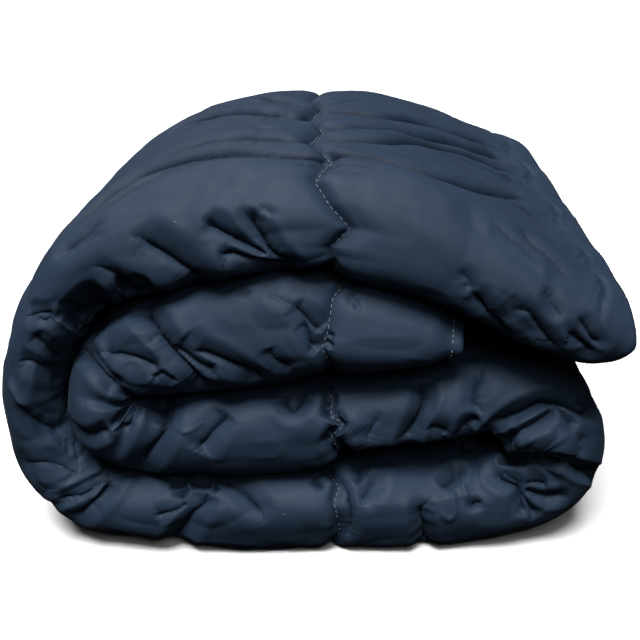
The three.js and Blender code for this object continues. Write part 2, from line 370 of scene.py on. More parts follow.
def relax(X, g, N, rest, target, lo, hi, free, count, press, soft, bend, drift=0.01):
    """Relaxes the shell X over the padding: edges seek their rest lengths, bending is resisted,
    the padding presses the shell out (mm a step) and holds it up where it sinks below target."""
    rs, rl, ra, rb = rest
    B, F3 = g.base, free[..., None]
    w_s = np.clip((3.9 / g.hs) ** 2, 0.2, 1.5)[..., None]
    w_l = np.clip((3.9 / g.hl) ** 2, 0.2, 1.5)[..., None]

    def lap(U):
        L = w_l * (0.5 * (np.roll(U, 1, 1) + np.roll(U, -1, 1)) - U)
        L[1:-1] += w_s[1:-1] * (0.5 * (U[2:] + U[:-2]) - U[1:-1])
        return L

    for _ in range(count):
        D = np.zeros_like(X)
        XR = np.roll(X, -1, 1)
        for d, r, kind in ((X[1:] - X[:-1], rs, 0), (XR - X, rl, 1), (XR[1:] - X[:-1], ra, 2), (X[1:] - XR[:-1], rb, 3)):
            n = np.sqrt(np.einsum("ijk,ijk->ij", d, d)) + 1e-9
            c = d * ((n - r) / n * (0.5 if kind < 2 else 0.3))[..., None]
            if kind == 0:
                D[:-1] += c; D[1:] -= c
            elif kind == 1:
                D += c; D -= np.roll(c, 1, 1)
            elif kind == 2:
                D[:-1] += c; D[1:] -= np.roll(c, 1, 1)
            else:
                D[:-1] += np.roll(c, 1, 1); D[1:] -= c
        X = X + 0.42 * D * F3
        U = X - B
        U = U - bend * lap(lap(U)) * F3
        un = np.einsum("ijk,ijk->ij", U, N)
        T = U - un[..., None] * N
        un = un + press * free
        un = un + np.maximum(target - un, 0) * soft
        un = np.clip(un, lo, hi)
        X = B + un[..., None] * N + T * (1 - drift)
    return X


# ---- creases, placed one by one by where they show in the image --------------------
# Depth of the trough (a ridge is negative) and half its width in mm, then its path in image pixels,
# and which of its ends die out where that isn't plain; "soft" is a rounded hollow.
CREASES = [
    # top face, left of the middle line: long folds from the shoulder to the stitching
    (12, 17, [(49, 257), (60, 241), (70, 227), (84, 213), (100, 200), (115, 189), (130, 179), (148, 170), (166, 163), (196, 155), (232, 151), (269, 151), (299, 154), (326, 159)], "first"),
    (5, 8, [(79, 224), (106, 205), (136, 185), (166, 170), (190, 163)], "both"),
    (11, 14, [(136, 170), (160, 156), (190, 145), (202, 142), (232, 137), (268, 136), (298, 142), (305, 146)], "first"),
    (11, 14, [(152, 141), (176, 127), (200, 118), (208, 116), (235, 112), (268, 112), (295, 116), (305, 121)], "first"),
    (9, 13, [(200, 106), (220, 99), (236, 96), (258, 97), (280, 100), (305, 105), (321, 109)], "first"),
    (3, 6, [(244, 128), (268, 128), (292, 130)], "both"),
    (3, 6, [(289, 161), (310, 163), (328, 167)], "both"),
    (5, 12, [(50, 262), (54, 260), (64, 248), (79, 236), (94, 225), (109, 215)], "both"),
    (2, 7, [(61, 257), (74, 247), (88, 239), (112, 230)], "both"),
    # top face, right of it
    (4, 8, [(323, 109), (332, 104), (345, 101), (360, 100), (380, 103)], "last"),
    (12, 14, [(306, 120), (320, 114), (340, 111), (360, 111), (383, 115), (407, 118), (432, 125), (457, 133), (482, 142), (507, 152), (520, 157)], "last"),
    (12, 14, [(327, 130), (333, 127), (340, 125), (360, 124), (380, 126), (403, 131), (432, 137), (457, 143), (482, 151), (503, 158), (523, 170), (535, 176)], "last"),
    (12, 14, [(306, 146), (314, 141), (322, 138), (340, 137), (360, 138), (383, 140), (407, 140), (423, 142), (440, 145), (457, 149), (478, 158), (498, 167), (523, 175), (543, 186)], "last"),
    (-4, 9, [(415, 147), (432, 152), (457, 158), (478, 167), (503, 177), (523, 187), (540, 193)], "both"),
    (9, 12, [(331, 157), (345, 154), (365, 154), (383, 156), (397, 160), (417, 167), (437, 175), (457, 182), (473, 187), (490, 192), (523, 198), (543, 202)], "last"),
    (-3, 8, [(397, 156), (432, 168), (457, 177), (482, 185), (500, 191)], "both"),
    (3, 6, [(335, 162), (360, 165), (383, 168)], "last"),
    (3, 6, [(328, 170), (345, 170), (357, 171), (373, 172)], "last"),
    (4, 7, [(500, 198), (511, 202), (525, 210), (537, 217), (552, 226)], "both"),
    (4, 9, [(485, 214), (497, 227), (510, 239), (520, 246), (530, 255), (537, 264), (545, 275)], "both"),
    (6, 13, [(512, 217), (525, 230), (537, 244), (547, 254), (557, 266), (566, 277), (575, 287)], "both"),
    # front of the top pass, left
    (10, 14, [(126, 230), (142, 239), (166, 257), (184, 272), (198, 287)], "first"),
    (-4, 9, [(133, 243), (155, 257), (175, 272), (192, 287)], "first"),
    (9, 9, [(202, 219), (214, 226), (235, 238), (256, 250), (271, 260)]),
    (10, 9, [(257, 208), (252, 214), (252, 221), (259, 233), (268, 248), (277, 260), (292, 269)]),
    (2, 5, [(258, 204), (268, 212), (276, 219)], "both"),
    (9, 10, [(216, 257), (232, 254), (250, 263), (274, 269), (298, 272)]),
    (5, 8, [(90, 267), (100, 268), (112, 275), (121, 281), (129, 293)], "first"),
    (4, 6, [(128, 281), (134, 278), (143, 280), (150, 286)]),
    (-3, 8, [(213, 231), (235, 245), (255, 257), (268, 262)], "both"),
    (-3, 8, [(258, 238), (268, 256), (284, 266)], "both"),
    # front of the top pass, right
    (3, 7, [(457, 271), (463, 275), (469, 280), (470, 288)], "first"),
    (2, 5, [(460, 287), (467, 286), (476, 286)], "both"),
    (7, 9, [(468, 287), (471, 291), (475, 297), (479, 306), (484, 315), (491, 325), (498, 332)], "first"),
    (8, 17, [(488, 302), (505, 316), (522, 332), (540, 352)], "soft"),
    (4, 8, [(505, 309), (512, 310), (520, 311), (530, 312), (535, 319), (540, 331), (546, 340), (552, 347)], "first"),
    (4, 7, [(544, 285), (549, 296), (554, 306), (559, 316), (564, 323)], "both"),
    (6, 8, [(563, 336), (570, 334), (577, 340), (584, 347), (590, 354)], "first"),
    (5, 8, [(576, 316), (584, 322), (589, 331), (594, 340), (597, 344)], "first"),
    # left wrap
    (6, 8, [(26, 316), (37, 313), (53, 315)]),
    (5, 6, [(37, 318), (43, 322), (52, 317)]),
    (8, 8, [(31, 333), (38, 341), (45, 347), (53, 354), (63, 361)]),
    (7, 9, [(17, 360), (30, 363), (45, 368), (55, 369), (64, 365)]),
    (5, 6, [(52, 379), (58, 374), (65, 371)]),
    (7, 10, [(17, 400), (23, 409), (32, 419), (46, 426), (58, 429)], "first"),
    (-4, 7, [(11, 376), (13, 387), (20, 399), (30, 410), (45, 418), (58, 420)]),
    (3, 6, [(58, 424), (61, 436), (64, 448)]),
    (3, 5, [(66, 438), (69, 456)]),
    (2, 5, [(73, 440), (77, 455), (80, 470)]),
    (5, 11, [(25, 465), (45, 463), (60, 465), (72, 471), (80, 477)]),
    (2, 6, [(43, 494), (46, 490), (52, 489), (54, 493)]),
    (5, 8, [(58, 499), (66, 499), (78, 496), (90, 489), (104, 477)]),
    # inner roll and pass 2
    (6, 8, [(83, 350), (95, 365), (110, 380), (122, 389)]),
    (9, 7, [(139, 396), (134, 406), (127, 416), (117, 425), (106, 431)], "soft"),
    (7, 7, [(112, 429), (98, 434), (86, 437), (78, 432), (72, 425)]),
    (9, 7, [(77, 345), (83, 349)]),
    (8, 7, [(84, 346), (91, 338), (98, 332)]),
    (7, 13, [(98, 351), (115, 352), (135, 359), (150, 367), (160, 373)]),
    (10, 10, [(141, 303), (150, 318), (158, 335), (168, 349), (178, 361), (190, 375), (200, 387)]),
    (9, 15, [(170, 345), (185, 357), (200, 370), (215, 378)]),
    (8, 9, [(190, 351), (205, 354), (220, 361), (235, 369), (250, 376), (262, 381)]),
    (4, 5, [(154, 332), (150, 338), (148, 345)]),
    (4, 6, [(153, 381), (161, 374), (168, 379), (177, 382)]),
    (6, 9, [(293, 303), (302, 312), (312, 322), (325, 332)]),
    (7, 8, [(304, 320), (309, 331), (315, 344), (319, 352)]),
    (4, 7, [(266, 348), (272, 359), (280, 365), (292, 370)]),
    (2, 5, [(238, 290), (250, 295)]),
    (2, 6, [(268, 292), (282, 301), (296, 308)]),
    (4, 5, [(326, 333), (333, 338)]),
    (4, 5, [(326, 340), (331, 346)]),
    (2, 7, [(349, 290), (351, 303)]),
    (2, 7, [(356, 298), (358, 310)]),
    # pass 3
    (9, 6, [(157, 396), (155, 410), (157, 425)]),
    (11, 10, [(163, 398), (165, 412), (162, 430), (155, 445), (147, 458), (141, 468)]),
    (8, 10, [(227, 411), (219, 419), (212, 430), (206, 442), (197, 452)]),
    (-3, 6, [(172, 420), (178, 430), (186, 433), (195, 429), (206, 418)]),
    (7, 9, [(283, 394), (288, 403), (293, 410), (298, 403), (304, 392)]),
    (6, 5, [(331, 392), (330, 405), (328, 418)]),
    (5, 5, [(334, 411), (338, 418), (343, 427)]),
    (6, 6, [(335, 425), (331, 433), (329, 444)]),
    (7, 9, [(333, 438), (338, 445), (345, 455)]),
    (9, 8, [(421, 380), (421, 385), (425, 396), (423, 407), (420, 417), (415, 427), (410, 437), (406, 446)]),
    (4, 10, [(366, 448), (371, 434), (377, 421), (384, 410)], "both"),
    (6, 9, [(482, 365), (478, 380), (475, 395), (476, 405), (483, 415), (487, 420)], "both"),
    (-3, 8, [(487, 366), (484, 380), (481, 395)], "both"),
    (10, 8, [(483, 421), (472, 423), (467, 428), (465, 438), (463, 447)], "first"),
    (5, 10, [(424, 431), (433, 429), (443, 431), (452, 437), (458, 445)], "both"),
    # right fold
    (12, 7, [(468, 448), (485, 433), (497, 427), (508, 420), (520, 412), (532, 407), (545, 402), (558, 401), (570, 402), (580, 407), (590, 411), (597, 410)]),
    (9, 6, [(498, 453), (505, 442), (513, 435), (527, 428), (537, 422), (548, 415), (563, 407)]),
    (-5, 6, [(511, 430), (527, 420), (543, 411), (561, 404)], "both"),
    (6, 7, [(563, 408), (572, 422), (580, 428)], "last"),
    (-4, 14, [(520, 446), (540, 433), (560, 430)], "both"),
    (12, 6, [(497, 457), (510, 459), (523, 456), (540, 456), (555, 459), (568, 465), (582, 472), (600, 475)]),
    (5, 6, [(500, 468), (508, 475), (517, 482), (525, 486)]),
    (5, 6, [(525, 485), (532, 483), (540, 483), (548, 487)]),
    (8, 7, [(521, 487), (521, 493), (525, 505), (524, 518)]),
    (6, 6, [(525, 498), (532, 510), (538, 520)], "last"),
    (8, 7, [(530, 492), (540, 497), (550, 500), (560, 498), (572, 497)], "last"),
    (-4, 12, [(515, 468), (535, 464), (555, 470), (570, 478)], "both"),
    (4, 9, [(585, 430), (583, 445), (583, 460)], "both"),
    (6, 8, [(578, 400), (588, 403), (597, 408)]),
    # bottom pass
    (7, 9, [(77, 518), (88, 508), (98, 498), (107, 486), (112, 479)]),
    (4, 7, [(155, 517), (168, 513), (180, 509), (188, 501)]),
    (9, 10, [(176, 542), (185, 530), (193, 515), (200, 505), (209, 491)]),
    (6, 6, [(186, 484), (182, 493), (180, 500)]),
    (7, 7, [(171, 482), (179, 483), (186, 480)]),
    (7, 7, [(213, 478), (216, 485), (219, 490)]),
    (9, 7, [(190, 481), (213, 481)]),
    (8, 10, [(224, 478), (236, 483), (246, 491), (253, 502), (260, 515), (265, 526)], "last"),
    (5, 7, [(313, 478), (319, 484), (324, 487)]),
    (7, 9, [(338, 478), (343, 487), (347, 500), (349, 515), (348, 530), (346, 541)], "both"),
    (5, 7, [(358, 468), (361, 474), (355, 487)], "last"),
    (5, 10, [(376, 468), (371, 482), (364, 497), (357, 512)], "both"),
    (9, 8, [(434, 496), (427, 503), (422, 508), (423, 522), (425, 547)], "first"),
    (9, 7, [(457, 470), (447, 480), (440, 487)], "last"),
    (-3, 7, [(437, 500), (441, 514), (449, 520), (455, 514), (454, 500), (451, 486), (446, 478)], "both"),
    (-3, 7, [(461, 474), (463, 487), (468, 498), (476, 500), (487, 495)], "both"),
    (6, 6, [(482, 498), (475, 505), (472, 513)], "both"),
    (9, 8, [(496, 473), (507, 481), (520, 488), (522, 505), (522, 522)], "last"),
    # raised lips beside the creases
    (-3, 8, [(47, 267), (60, 256), (80, 240), (100, 226), (112, 222)], "both"),
    (-3, 7, [(196, 357), (215, 365), (232, 372)], "both"),
    (-3, 7, [(148, 340), (153, 357), (160, 371)], "both"),
]

def sight(px, py):
    a, b = (px - 320) / FOCAL, (320 - py) / FOCAL
    d = np.array([a, math.cos(PITCH) + b * math.sin(PITCH), -math.sin(PITCH) + b * math.cos(PITCH)])
    return d / np.linalg.norm(d)


def spread_along(points, step=2.0):
    p = np.array(points, float)
    k = np.concatenate([[0], np.cumsum(np.hypot(*np.diff(p, axis=0).T))])
    q = np.linspace(0, k[-1], max(2, int(math.ceil(k[-1] / step)) + 1))
    return np.stack([np.interp(q, k, p[:, 0]), np.interp(q, k, p[:, 1])], 1)


def crease_paths(X, g):
    """The creases as runs of points on the shell, each with its depth, width, which ends die out, and if it is soft."""
    tree = BVHTree.FromPolygons(X.reshape(-1, 3).tolist(), quads(g.ns, g.nl).tolist())

    def seen_at(px, py):
        hit = tree.ray_cast(EYE.tolist(), sight(px, py).tolist(), 3000)
        return None if hit[0] is None else (np.array(hit[0]), g.rows[hit[2] // g.nl])

    found = []
    for depth, width, points, *kind in CREASES:
        kind = kind[0] if kind else ""
        places = spread_along(points)
        more = [2.5 * places[0] - 1.5 * places[min(2, len(places) - 1)], 2.5 * places[-1] - 1.5 * places[max(-3, -len(places))]]
        hits = [seen_at(*q) for q in places]
        beyond = [seen_at(*q) for q in more]
        run = []
        for k in range(len(hits) + 1):
            h = hits[k] if k < len(hits) else None
            if h is None or (run and (np.linalg.norm(h[0] - run[-1][0]) > 40 or abs(h[1] - run[-1][1]) > 80)):
                if len(run) > 1:
                    fade = []
                    for end, own, at, name in ((beyond[0], run[0] is hits[0], run[0], "first"), (beyond[1], run[-1] is hits[-1], run[-1], "last")):
                        plain = own and end is not None and np.linalg.norm(end[0] - at[0]) < 25
                        fade.append(1.0 if kind in (name, "both", "soft") else 0.4 if plain and not kind else 0.0)
                    found.append((depth, width, np.array([q[0] for q in run]), fade, kind == "soft"))
                run = []
            if h is not None:
                run.append(h)
    return found


def own_creases(X, g, front):
    """Creases where the image doesn't reach: the back edges, the outer faces on the left and right."""
    def at(s, l):
        i = int(np.clip(np.searchsorted(g.rows, s), 0, g.ns - 1))
        return X[i, int(np.argmin(np.abs(g.R[i] - l)))]

    tree = KDTree(X.shape[0] * X.shape[1])
    for i, v in enumerate(X.reshape(-1, 3)):
        tree.insert(v, i)
    tree.balance()
    out = []
    for n, (depth, width, path, fade, soft) in enumerate(front):
        ids = np.array([tree.find(q)[1] for q in path])
        s, l = g.rows[ids // g.nl], g.R.reshape(-1)[ids]
        if np.max(np.abs(l)) < 150 and depth > 2:
            move = 34 * math.sin(2.4 * n)
            back = np.sign(l + 1e-6) * (HALF - np.abs(l))
            out.append(((0.45 if np.mean(s) > 1780 else 1) * depth, width * 1.15,
                        np.array([at(q + move, w) for q, w in zip(s, back)]), fade, soft))
    jit = np.random.default_rng(5)
    for s0, s1, l0, l1, step, depth in ((1474, 1700, 95, 600, 58, 4.5), (1474, 1590, 120, 600, 58, 5), (928, 1020, 90, 600, 55, 5),
                                        (904, 815, 90, 600, 55, 5)):
        for l in np.arange(l0, l1, step):
            l = l + jit.uniform(-9, 9)
            e = l + jit.uniform(-14, 14)
            stop = s1 + jit.uniform(-0.15, 0.1) * (s1 - s0)
            out.append((depth * jit.uniform(0.6, 1.2), jit.uniform(9, 13),
                        np.array([at(s0 + (stop - s0) * q, l + (e - l) * q + 5 * math.sin(3 * q + l)) for q in np.linspace(0, 1, 16)]), (0.0, 1.0), False))
    return out


def on_shell(X, g, s, l):
    """Points of the shell at strip positions s and places l round it."""
    i = np.clip(np.searchsorted(g.rows, s, side="right") - 1, 0, g.ns - 2)
    t = np.clip((s - g.rows[i]) / (g.rows[i + 1] - g.rows[i]), 0, 1)
    out = np.zeros((len(s), 3))
    for n in range(len(s)):
        for row, w in ((i[n], 1 - t[n]), (i[n] + 1, t[n])):
            j = int(np.searchsorted(g.ring[row], l[n] % AROUND, side="right")) - 1
            k = (j + 1) % g.nl
            size = (g.ring[row][k] - g.ring[row][j]) % AROUND
            u = ((l[n] % AROUND) - g.ring[row][j]) / size
            out[n] += w * ((1 - u) * X[row, j] + u * X[row, k])
    return out


def crease_map(X, N, g, paths):
    """Draws the shell in along the creases: points nearest to a crease are first slid onto it, so that it
    runs clean. Returns the shell, how far each point is drawn in, how far it is raised, how deep in a fold it lies (as
    painted shade for its colour), and the crease's edges."""
    nl = g.nl
    V, Nf, Sf, held, hl = X.reshape(-1, 3).copy(), N.reshape(-1, 3), g.S.reshape(-1), g.pinned.reshape(-1), g.hl.reshape(-1)
    kd = KDTree(len(V))
    for i, v in enumerate(V):
        kd.insert(v, i)
    kd.balance()
    n_all = len(V)
    narrow, broad, rise, hollow, fold = (np.zeros(n_all) for _ in range(5))
    gap = np.ones(X.shape[:2])
    gap[1:-1] = np.linalg.norm(X[2:] - X[:-2], axis=-1) / (g.rows[2:] - g.rows[:-2])[:, None]
    open_ = ease((smooth_map(gap, 6) - 0.3) / 0.4).reshape(-1)
    held = held | (open_ < 0.5)
    calm = open_ * (1 - 0.45 * ease((Sf - 1440) / 40) * ease((1730 - Sf) / 40))  # the left side is less creased
    slid, slid_by = V.copy(), np.zeros(n_all)
    edges = {}

    def settle(path):
        """The path smoothed in the shell's own two directions, the more so where it is seen at a flat angle."""
        ids = np.array([kd.find(p_)[1] for p_ in path])
        ray = V[ids] - EYE
        flat = np.abs(np.einsum("ij,ij->i", ray, Nf[ids])) / np.linalg.norm(ray, axis=1)
        w = np.stack([Sf[ids], np.unwrap(g.R.reshape(-1)[ids], period=AROUND)], 1)
        for _ in range(int(8 + 260 * np.clip((0.5 - np.median(flat)) / 0.3, 0, 1))):
            w[1:-1] = 0.25 * (w[2:] + w[:-2]) + 0.5 * w[1:-1]
        return on_shell(X, g, w[:, 0], w[:, 1])

    for depth, width, path, fade, soft in paths:
        along = np.concatenate([[0], np.cumsum(np.linalg.norm(np.diff(path, axis=0), axis=1))])
        if along[-1] < 3:
            continue
        q = np.linspace(0, along[-1], max(5, int(along[-1] / 0.9)))
        path = np.stack([np.interp(q, along, path[:, k]) for k in range(3)], 1)
        path = settle(path)
        t = np.linspace(0, 1, len(path))
        ids = np.array([kd.find(p_)[1] for p_ in path])
        on_top = np.median(g.R.reshape(-1)[ids]) > 55 and np.median(Sf[ids]) > 1600
        die = 0.34 if on_top else min(0.35, 36 / along[-1])
        taper = ease(t / max(die * fade[0], 1e-4)) * ease((1 - t) / max(die * fade[1], 1e-4))
        taper = np.where((t <= 0) & (fade[0] == 0) | (t >= 1) & (fade[1] == 0), 1.0, taper)
        found = [kd.find(p_) for p_ in path]
        homes = np.array([f[1] for f in found])
        away = np.array([f[2] for f in found])
        if depth > 2.5 and not soft:
            chain = []  # (vertex, sample) in order along the crease, each vertex once
            for k, h in enumerate(homes):
                if chain and chain[-1][0] == h:
                    if away[k] < away[chain[-1][1]]:
                        chain[-1] = (h, k)
                else:
                    chain.append((h, k))
            k = 1
            while k < len(chain) - 1:
                before, after = chain[k - 1][0], chain[k + 1][0]
                di, dj = abs(before // nl - after // nl), abs(before % nl - after % nl)
                if di <= 1 and min(dj, nl - dj) <= 1 and away[chain[k][1]] > 0.5:
                    chain.pop(k)
                else:
                    k += 1
            for h, k in chain:
                if not held[h] and depth * taper[k] > slid_by[h]:
                    slid[h], slid_by[h] = path[k], depth * taper[k]
            for (h, k), (m, o) in zip(chain[:-1], chain[1:]):
                e = (min(h, m), max(h, m))
                edges[e] = max(edges.get(e, 0), depth * min(taper[k], taper[o]))
        width = min(width, 0.3 * along[-1]) if not soft else width
        reach = (2.2 if soft or depth < 0 else 3.4) * width
        near = set()
        for p_ in path[::6]:
            near.update(v for _, v, _ in kd.find_range(p_, reach))
        near = np.array(sorted(near))
        w = slid[near][:, None] - path[None, ::2]
        d2 = np.einsum("nij,nij->ni", w, w)
        k = np.argmin(d2, 1)
        d = np.sqrt(d2[np.arange(len(near)), k])
        d = np.where(d < 1.0, 0, d)
        k = np.minimum(2 * k, len(path) - 1)
        out = np.stack([np.convolve(np.pad(Nf[homes, c], 12, mode="edge"), np.ones(25) / 25, mode="valid") for c in range(3)], 1)
        facing = ease((np.einsum("ij,ij->i", Nf[near], out[k]) + 0.35) / 0.6)
        same = (np.abs(Sf[near] - Sf[homes[k]]) < 90) & (facing > 0) & (d < reach)
        near, d, f = near[same], d[same], (taper[k] * facing)[same]
        if soft:
            hollow[near] = np.maximum(hollow[near], depth * f * np.exp(-(d / width) ** 2))
        elif depth > 0:
            thin = max(min(max(0.24 * width, 1.8), 2.9), 1.1 * float(np.median(hl[homes])))
            if on_top:  # the far side hangs over the near side
                far = np.linalg.norm(V[near] - EYE, axis=1) > np.linalg.norm(path[k[same]] - EYE, axis=1)
                # painted shade for the cloth's colour in the fold, reaching further on the side away from the eye
                fold[near] = np.maximum(fold[near], min(depth / 9, 1) * f * np.exp(-d / np.where(far, 3.6, 2.6)))
                narrow[near] = np.maximum(narrow[near], np.where(far, 0.55 * depth * f * np.exp(-d / 4.0), 0))
                broad[near] = np.maximum(broad[near], np.where(far, 0, 0.55 * depth * f * np.maximum(1 - d / (2.0 * width), 0) ** 1.5))
                rise[near] = np.maximum(rise[near], np.where(far, 0.24 * depth * f * np.exp(-((d - 1.3 * width) / (0.9 * width)) ** 2), 0))
                continue
            # painted shade for the cloth's colour in the fold
            fold[near] = np.maximum(fold[near], 0.45 * min(depth / 10, 1) * f * np.exp(-d / 3.0))
            narrow[near] = np.maximum(narrow[near], 0.55 * depth * f * np.exp(-d / thin))
            broad[near] = np.maximum(broad[near], 1.1 * depth * f * np.maximum(1 - d / (2.4 * width), 0) ** 1.5)
            rise[near] = np.maximum(rise[near], 0.17 * depth * f * np.exp(-((d - 1.7 * width) / (0.8 * width)) ** 2))
        else:
            rise[near] = np.maximum(rise[near], -depth * f * np.exp(-(d / (0.6 * width)) ** 1.5))
    rise = open_ * rise / (1 + ((narrow + broad + hollow) / 2.5) ** 2)
    return slid.reshape(X.shape), ((narrow + broad) * calm + hollow * open_).reshape(X.shape[:2]), rise.reshape(X.shape[:2]), (fold * open_).reshape(X.shape[:2]), edges


# ---- the shell, first relaxed on a plain grid, then creased on a fine one ---------------
TURN = 1.0
plain = Grid(row_places(0.0, LENGTH, 5.6, 2.8), 170, (3.2, 5.6, 7.0, 22.0))
if np.sum(normals(plain.base)[plain.ns // 2, :, 1] * np.interp(plain.ring[plain.ns // 2], arc, eta_f)) < 0:
    TURN = -1.0
N = normals(plain.base)
hi = smooth_map(spread_min(np.minimum(room(plain.base, N), 26.0)), 2)
free = np.where(plain.pinned, 0.0, 1.0)
free[0] = free[-1] = 0
drawn = np.interp(plain.rows, LINES, DRAWN)[:, None]
groove = -drawn * np.exp(-np.abs(plain.off) / 14) - np.where(plain.S < 100, 3.5, 1.2) * np.exp(-((plain.end - HEM) / 3.2) ** 2)
fill = np.minimum(hi, drawn * (1 - np.exp(-np.abs(plain.off) / 30))) * ease((plain.end - HEM) / 25)  # the padding presses into what room there is
target = groove + fill - 4.0 * free * ease(plain.end / 20)
seed = (0.9 * noise(np.stack([plain.S / 60, plain.R / 40, 0 * plain.S + 3.3], -1))
        + 0.4 * noise(np.stack([plain.S / 25, plain.R / 25, 0 * plain.S + 9.7], -1)))
X = plain.base + np.clip(target + seed * free * ease(plain.end / 20), -14, hi)[..., None] * N
ls, ll, la, lb = lengths(plain.base + target[..., None] * N)
es = 0.014
nominal = np.diff(plain.rows)[:, None]
loose = ease((ls / nominal - 0.35) / 0.4)  # none where an inner corner is packed tight
el = 0.06 - 0.035 * ease((plain.R - 100) / 40)
el = (0.010 + np.array(SHOW)[plain.line][:, None] * el * np.exp(-np.abs(plain.off) / 32)) * ease(plain.end / 30)
el[1:] *= loose
em = 0.5 * (es + 0.5 * (el[1:] + el[:-1]))
zone = np.interp(plain.rows[1:], [0, 1400, 1440, 1720, 1760, 2000, 2090], [0.5, 0.5, 0.2, 0.2, 0.4, 0.4, 0])[:, None]
slack = zone * loose
rest = (np.maximum(ls * (1 + es), ls + slack * (nominal - ls)), ll * (1 + el), la * (1 + em), lb * (1 + em))
X = relax(X, plain, N, rest, target, np.full_like(hi, -16.0), hi, free, 170, 0.03, 0.02, 0.03)
paths = crease_paths(X, plain)
paths += own_creases(X, plain, paths)

# the fine grid in four lengths that meet at sewn lines, each within its share of triangles
COLUMNS = 340
CUTS = [0.0, 637.0, 1195.0, 1704.0, LENGTH]
most = (198000 - 2 * COLUMNS) // (2 * COLUMNS)
fine_rows = [0.0]
for lo_, hi_ in zip(CUTS[:-1], CUTS[1:]):
    gap = 1.6
    while len(row_places(lo_, hi_, gap, 1.5)) > most:
        gap *= 1.03
    fine_rows += row_places(lo_, hi_, gap, 1.5)[1:]
fine = Grid(fine_rows, COLUMNS, (2.2, 3.2, 3.1, 20.0))
NS, NL, S, R = fine.ns, fine.nl, fine.S, fine.R
un = np.einsum("ijk,ijk->ij", X - plain.base, N)
more = carry(np.concatenate([X - plain.base, (hi - un)[..., None], hi[..., None]], -1), plain, fine)
X = fine.base + smooth_map(more[..., :3], 3, 0.2)
above, hi = more[..., 3], more[..., 4]
N = normals(X)
X, drop, rise, fold, crease_edges = crease_map(X, N, fine, paths)
warp_s, warp_r = (noise(np.stack([S / 70, R / 70, 0 * S + q], -1)) for q in (20.5, 31.5))
long_ = np.abs(noise(np.stack([(S + 16 * warp_s) / 80, (R + 12 * warp_r) / 30, 0 * S + 5.1], -1)))
short = np.abs(noise(np.stack([(S + 10 * warp_r) / 34, (R + 8 * warp_s) / 20, 0 * S + 15.7], -1)))
wrinkle = (1.5 * (long_ - 0.45) + 0.7 * (0.45 - short)) * ease(np.abs(fine.off) / 8) * ease(fine.end / 25) * ease(hi / 2)
wrinkle *= 1 - 0.45 * ease((R - 100) / 60)  # the open faces lie smoother
seam = 3.2 * np.array(SHOW)[fine.line][:, None] * np.exp(-np.abs(fine.off) / 2.6) * ease(fine.end / 20)
# painted shade for the cloth's colour also along the sewn lines
fold = np.maximum(fold, 0.2 * seam)
X = X + (np.minimum(rise, np.maximum(above, 0)) + wrinkle - seam - drop * np.where(fine.pinned, 1 - 0.7 * np.array(SHOW)[fine.line][:, None], 1.0))[..., None] * N
X[..., 2] = np.maximum(X[..., 2], 0)


def make(name, verts, faces):
    me = bpy.data.meshes.new(name)
    me.from_pydata(verts.tolist(), [], [list(map(int, f)) for f in faces])
    me.validate()
    me.update()
    o = bpy.data.objects.new(name, me)
    bpy.context.scene.collection.objects.link(o)
    me.polygons.foreach_set("use_smooth", np.ones(len(me.polygons), bool))
    return o


def triangles(P, q, low, edges):
    """Squares q as triangles, each cut along its crease or else along its lower or shorter diagonal."""
    a, b, c, d = q.T
    ac, bd = np.linalg.norm(P[a] - P[c], axis=1), np.linalg.norm(P[b] - P[d], axis=1)
    way = np.where(np.abs(low[a] + low[c] - low[b] - low[d]) > 0.6, low[a] + low[c] > low[b] + low[d], ac < bd)
    for (u, v), cut in (((b, d), False), ((a, c), True)):
        lo_v, hi_v = np.minimum(u, v), np.maximum(u, v)
        way = np.where([(x, y) in edges for x, y in zip(lo_v.tolist(), hi_v.tolist())], cut, way)
    one = np.where(way[:, None], np.stack([a, b, c], 1), np.stack([a, b, d], 1))
    two = np.where(way[:, None], np.stack([a, c, d], 1), np.stack([b, c, d], 1))
    return np.concatenate([one, two])


# creases and sewn lines are sharp valleys
keys = {k for k, v in crease_edges.items() if v > 4}
line_rows = [int(np.argmin(np.abs(fine.rows - q))) for q in QUILTING]
for i in line_rows:
    keys.update((min(u, v), max(u, v)) for u, v in ((i * NL + j, i * NL + (j + 1) % NL) for j in range(NL)))
pieces = []
for name, lo_, hi_ in zip(("duvet_inner", "duvet_middle", "duvet_lower", "duvet_outer"), CUTS[:-1], CUTS[1:]):
    i0, i1 = (int(np.argmin(np.abs(fine.rows - q))) for q in (lo_, hi_))
    P, shift = X[i0:i1 + 1].reshape(-1, 3), i0 * NL
    own = {(u - shift, v - shift) for u, v in crease_edges if shift <= u and v < (i1 + 1) * NL}
    faces = triangles(P, quads(i1 - i0 + 1, NL), drop[i0:i1 + 1].reshape(-1), own).tolist()
    rim = np.arange(NL)
    if i0 == 0:
        faces.append(list(rim[::-1] if TURN > 0 else rim))
    if i1 == NS - 1:
        rim = (i1 - i0) * NL + rim
        faces.append(list(rim if TURN > 0 else rim[::-1]))
    o = make(name, P * MM, faces)
    print(name, "rows", i1 - i0 + 1, "triangles", sum(len(f.vertices) - 2 for f in o.data.polygons))
    me = o.data
    ev = np.zeros(2 * len(me.edges), np.int32)
    me.edges.foreach_get("vertices", ev)
    ev = np.sort(ev.reshape(-1, 2), 1) + shift
    # the painted fold shade, which darkens the cloth's colour in the material
    me.attributes.new("fold", "FLOAT", "POINT").data.foreach_set("value", fold[i0:i1 + 1].reshape(-1).astype(np.float32))
    sharp = me.attributes.new("sharp_edge", "BOOLEAN", "EDGE")
    sharp.data.foreach_set("value", np.array([(x, y) in keys for x, y in ev.tolist()], bool))
    pieces.append(o)

# ---- stitches: short thread lengths that lie in the sewn lines and along the inner hem ----
NF = normals(X)


